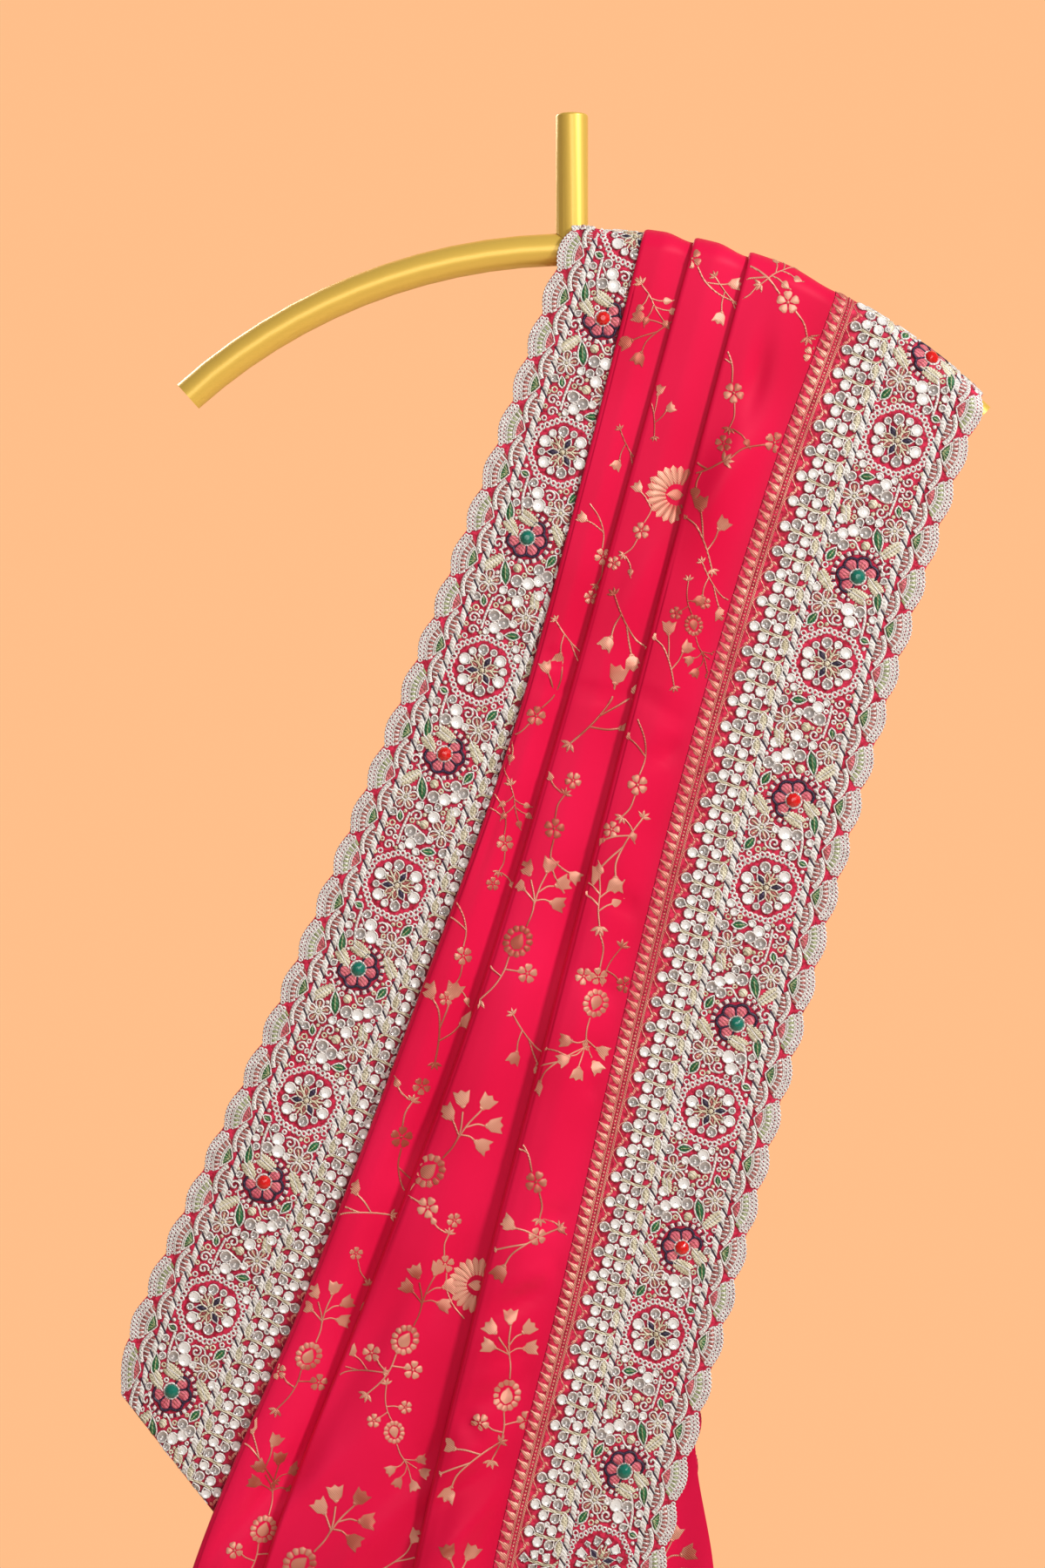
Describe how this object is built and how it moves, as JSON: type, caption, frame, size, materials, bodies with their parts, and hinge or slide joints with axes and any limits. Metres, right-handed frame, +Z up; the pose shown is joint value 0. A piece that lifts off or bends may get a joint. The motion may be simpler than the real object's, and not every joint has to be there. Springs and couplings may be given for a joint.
{
  "type": "silk sari on a hanger",
  "caption": "Pleated red silk sari with woven gold sprays and embroidered scalloped borders, hung over the bent tube arm of a gold hanger",
  "frame": {"origin": "the centre of the top of the hanger's stem, where the hanger is held", "axes": "X to the right seen from the front, Y from the front to the back, Z up along the stem"},
  "size_m": [0.5302, 0.0574, 1.4],
  "materials": {
    "red_silk": "satin silk with woven gold thread",
    "embroidery": "sequins, thread and stones on red silk",
    "gold_tube": "smooth gold paint"
  },
  "bodies": {
    "root": {"hanger_arm": "gold_tube", "hanger_stem": "gold_tube", "front_border_left": "embroidery", "front_pleat_1": "red_silk", "front_pleat_2": "red_silk", "front_pleat_3": "red_silk", "front_border_right": "embroidery", "back_border_left": "embroidery", "back_pleat_1": "red_silk", "back_pleat_2": "red_silk", "back_pleat_3": "red_silk", "back_border_right": "embroidery", "border_turnback": "embroidery", "inner_silk": "red_silk"}
  },
  "joints": []
}
